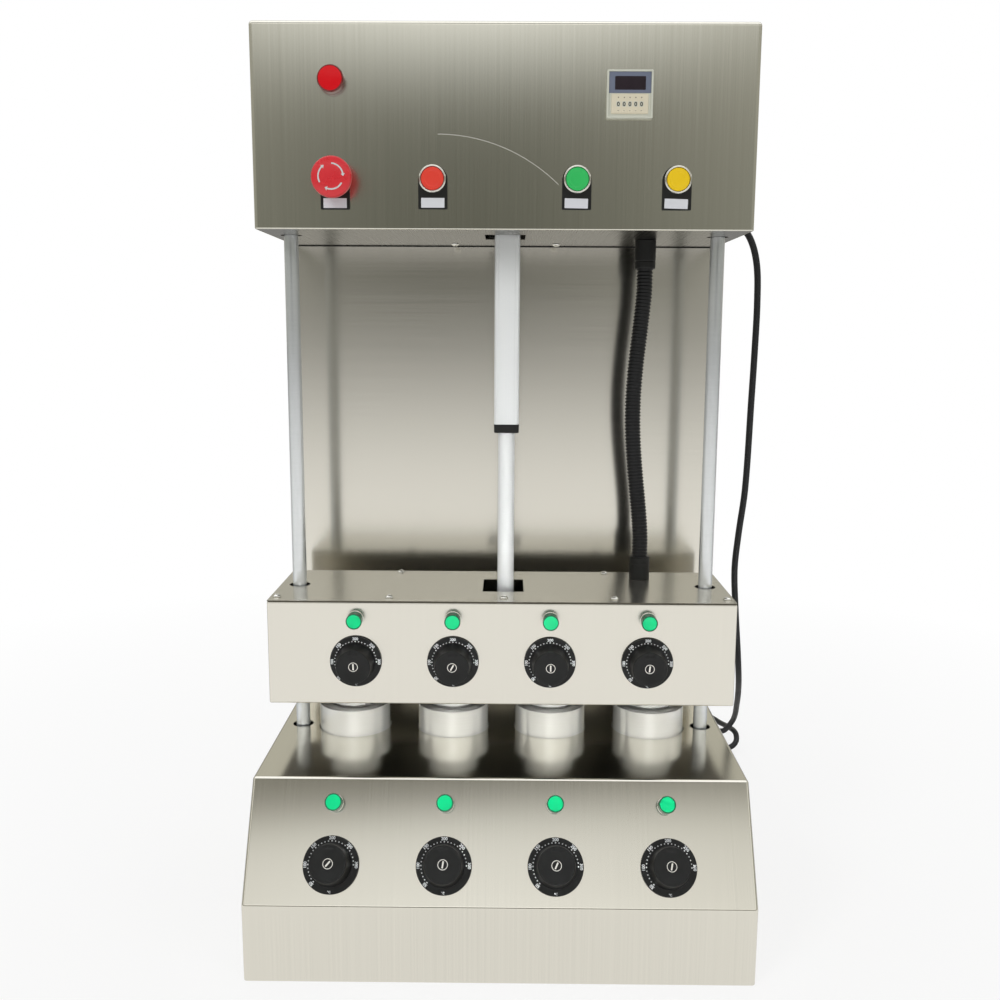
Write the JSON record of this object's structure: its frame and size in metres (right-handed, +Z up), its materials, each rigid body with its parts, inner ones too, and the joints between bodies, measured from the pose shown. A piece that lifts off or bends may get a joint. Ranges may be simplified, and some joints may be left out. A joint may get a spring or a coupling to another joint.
{
  "type": "pizza cone machine",
  "caption": "Countertop pizza cone machine: heated lower moulds in a sloped base, and a carriage of heated punches lifted by an electric actuator along two guide columns.",
  "frame": {"origin": "on the counter, under the middle of the casing's footprint (base front to rear cover)", "axes": "+Z up, +X to the user's right, -Y towards the user"},
  "size_m": [0.6414, 0.817, 0.962],
  "materials": {
    "brushed_steel": "brushed stainless sheet, satin",
    "plain_steel": "mill finish steel",
    "aluminium": "turned or drawn, bare",
    "chromed_steel": "ground and chromed rod",
    "black_plastic": "moulded, fine matt",
    "hose_black": "ribbed polyamide hose, satin",
    "green_lens": "moulded lens, glossy",
    "red_lens": "moulded lens, glossy",
    "red_plastic": "moulded, semi-gloss",
    "green_plastic": "moulded, semi-gloss",
    "yellow_plastic": "moulded, semi-gloss",
    "cream_plastic": "moulded, fine matt",
    "cord_black": "flexible cord sheath, satin"
  },
  "bodies": {
    "frame": {"base_shell": "brushed_steel", "base_floor_plate": "plain_steel", "base_rear_cover": "brushed_steel", "lower_mould_1": "aluminium", "lower_mould_2": "aluminium", "lower_mould_3": "aluminium", "lower_mould_4": "aluminium", "lower_lamp_1": "green_lens", "lower_lamp_2": "green_lens", "lower_lamp_3": "green_lens", "lower_lamp_4": "green_lens", "lower_thermostats": "plain_steel", "column_left": "chromed_steel", "column_right": "chromed_steel", "back_panel": "brushed_steel", "top_box_shell": "brushed_steel", "top_box_floor": "brushed_steel", "top_rear_cover": "brushed_steel", "top_crosshead": "plain_steel", "actuator_motor": "black_plastic", "actuator_tube": "aluminium", "actuator_collar": "black_plastic", "timer": "cream_plastic", "power_lamp": "red_lens", "stop_base": "black_plastic", "rise_base": "black_plastic", "down_base": "black_plastic", "yellow_base": "black_plastic", "hose_top_fitting": "black_plastic", "conduit_hose": "hose_black", "cord_gland": "black_plastic", "power_cord": "cord_black", "power_plug": "black_plastic"},
    "carriage": {"carriage_shell": "brushed_steel", "carriage_lid": "brushed_steel", "punch_plate": "plain_steel", "upper_mould_1": "aluminium", "upper_mould_2": "aluminium", "upper_mould_3": "aluminium", "upper_mould_4": "aluminium", "upper_lamp_1": "green_lens", "upper_lamp_2": "green_lens", "upper_lamp_3": "green_lens", "upper_lamp_4": "green_lens", "upper_thermostats": "plain_steel", "actuator_rod": "aluminium", "hose_bottom_fitting": "black_plastic"},
    "lower_dial_1": {"lower_dial_1": "black_plastic"},
    "lower_dial_2": {"lower_dial_2": "black_plastic"},
    "lower_dial_3": {"lower_dial_3": "black_plastic"},
    "lower_dial_4": {"lower_dial_4": "black_plastic"},
    "upper_dial_1": {"upper_dial_1": "black_plastic"},
    "upper_dial_2": {"upper_dial_2": "black_plastic"},
    "upper_dial_3": {"upper_dial_3": "black_plastic"},
    "upper_dial_4": {"upper_dial_4": "black_plastic"},
    "rise_button": {"rise_button": "red_plastic"},
    "down_button": {"down_button": "green_plastic"},
    "yellow_button": {"yellow_button": "yellow_plastic"},
    "stop_plunger": {"stop_plunger": "black_plastic"},
    "stop_head": {"stop_head": "red_plastic"}
  },
  "joints": [
    {"name": "carriage_lift", "type": "slide", "parent": "frame", "child": "carriage", "axis": [0, 0, 1], "range_m": [0, 0.24], "deforming": ["conduit_hose"]},
    {"name": "lower_dial_1_turn", "type": "hinge", "parent": "frame", "child": "lower_dial_1", "pos_m": [-0.1716, -0.15768, 0.11634], "axis": [0, -0.8606, 0.5093], "range_deg": [-180, 90]},
    {"name": "lower_dial_2_turn", "type": "hinge", "parent": "frame", "child": "lower_dial_2", "pos_m": [-0.0568, -0.15768, 0.11634], "axis": [0, -0.8606, 0.5093], "range_deg": [-180, 90]},
    {"name": "lower_dial_3_turn", "type": "hinge", "parent": "frame", "child": "lower_dial_3", "pos_m": [0.0568, -0.15768, 0.11634], "axis": [0, -0.8606, 0.5093], "range_deg": [-180, 90]},
    {"name": "lower_dial_4_turn", "type": "hinge", "parent": "frame", "child": "lower_dial_4", "pos_m": [0.1716, -0.15768, 0.11634], "axis": [0, -0.8606, 0.5093], "range_deg": [-180, 90]},
    {"name": "upper_dial_1_turn", "type": "hinge", "parent": "carriage", "child": "upper_dial_1", "pos_m": [-0.1608, -0.036, 0.293], "axis": [0, -1, 0], "range_deg": [-180, 90]},
    {"name": "upper_dial_2_turn", "type": "hinge", "parent": "carriage", "child": "upper_dial_2", "pos_m": [-0.0535, -0.036, 0.293], "axis": [0, -1, 0], "range_deg": [-180, 90]},
    {"name": "upper_dial_3_turn", "type": "hinge", "parent": "carriage", "child": "upper_dial_3", "pos_m": [0.0535, -0.036, 0.293], "axis": [0, -1, 0], "range_deg": [-180, 90]},
    {"name": "upper_dial_4_turn", "type": "hinge", "parent": "carriage", "child": "upper_dial_4", "pos_m": [0.1608, -0.036, 0.293], "axis": [0, -1, 0], "range_deg": [-180, 90]},
    {"name": "rise_button_press", "type": "slide", "parent": "frame", "child": "rise_button", "axis": [0, 1, 0], "range_m": [0, 0.0025], "stiffness_N_per_m": 600, "springref_m": -0.003},
    {"name": "down_button_press", "type": "slide", "parent": "frame", "child": "down_button", "axis": [0, 1, 0], "range_m": [0, 0.0025], "stiffness_N_per_m": 600, "springref_m": -0.003},
    {"name": "yellow_button_press", "type": "slide", "parent": "frame", "child": "yellow_button", "axis": [0, 1, 0], "range_m": [0, 0.0025], "stiffness_N_per_m": 600, "springref_m": -0.003},
    {"name": "stop_press", "type": "slide", "parent": "frame", "child": "stop_plunger", "axis": [0, 1, 0], "range_m": [0, 0.004], "stiffness_N_per_m": 800, "springref_m": -0.004},
    {"name": "stop_head_twist", "type": "hinge", "parent": "stop_plunger", "child": "stop_head", "pos_m": [-0.174, -0.036, 0.8063], "axis": [0, -1, 0], "range_deg": [-45, 0], "stiffness_Nm_per_rad": 0.05, "springref_deg": 11.46}
  ]
}
